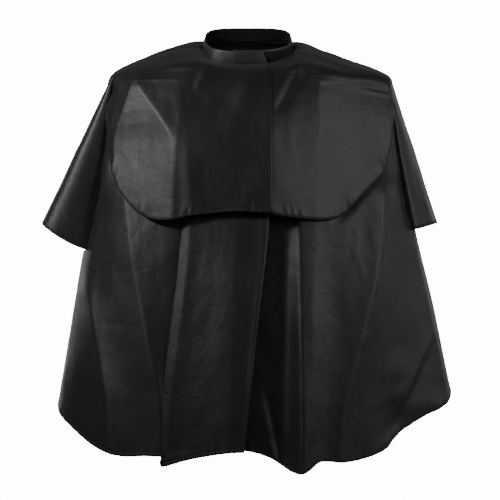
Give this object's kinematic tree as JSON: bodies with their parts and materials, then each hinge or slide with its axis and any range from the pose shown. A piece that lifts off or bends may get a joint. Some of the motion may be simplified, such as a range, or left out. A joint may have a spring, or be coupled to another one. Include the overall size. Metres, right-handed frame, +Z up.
{
  "type": "barber cape",
  "caption": "Hip-length salon cape with a stand neckband closed by hook and loop, a lift-up chest flap and short flutter sleeves.",
  "frame": {"origin": "middle of the neck opening, in the plane of the neckband's lower edge", "axes": "+Z up as worn, the front faces -Y, the wearer's left is at +X"},
  "size_m": [0.6904, 0.4, 0.721],
  "materials": {
    "cloth": "black plain-weave nylon with a soft sheen",
    "binding": "black narrow nylon binding, duller than the cloth",
    "tape": "black hook-and-loop tape, matt and fuzzy",
    "interfacing": "grey non-woven stiffener, hidden in the neckband"
  },
  "bodies": {
    "cape": {"back_panel": "cloth", "front_panel_right": "cloth", "front_panel_left": "cloth", "hem_binding_back": "binding", "hem_binding_front_right": "binding", "hem_binding_front_left": "binding", "front_facing_right": "binding", "front_facing_left": "binding", "side_seam_tape_right": "binding", "side_seam_tape_left": "binding", "shoulder_seam_tape_right": "binding", "shoulder_seam_tape_left": "binding", "neck_seam_binding": "binding", "flap_upper_right": "cloth", "flap_upper_left": "cloth", "neckband_outer": "cloth", "neckband_interfacing": "interfacing", "neckband_lining": "cloth", "loop_patch": "tape"},
    "chest_flap": {"flap_right": "cloth", "flap_left": "cloth", "flap_hem_binding_right": "binding", "flap_hem_binding_left": "binding"},
    "closure_tab": {"closure_tab_outer": "cloth", "closure_tab_lining": "cloth", "hook_patch": "tape"},
    "right_sleeve": {"sleeve_right": "cloth", "sleeve_hem_binding_right": "binding"},
    "left_sleeve": {"sleeve_left": "cloth", "sleeve_hem_binding_left": "binding"}
  },
  "joints": [
    {"name": "flap_lift", "type": "hinge", "parent": "cape", "child": "chest_flap", "pos_m": [0, -0.134, -0.06], "axis": [-1, 0, 0], "range_deg": [0, 70]},
    {"name": "tab_peel", "type": "hinge", "parent": "cape", "child": "closure_tab", "pos_m": [-0.02935, -0.06257, -0.02004], "axis": [-0.1128, 0.1451, -0.983], "range_deg": [0, 110]},
    {"name": "right_sleeve_lift", "type": "hinge", "parent": "cape", "child": "right_sleeve", "pos_m": [-0.23, 0, -0.045], "axis": [0, 1, 0], "range_deg": [0, 25]},
    {"name": "left_sleeve_lift", "type": "hinge", "parent": "cape", "child": "left_sleeve", "pos_m": [0.236, 0, -0.045], "axis": [0, -1, 0], "range_deg": [0, 25]}
  ]
}
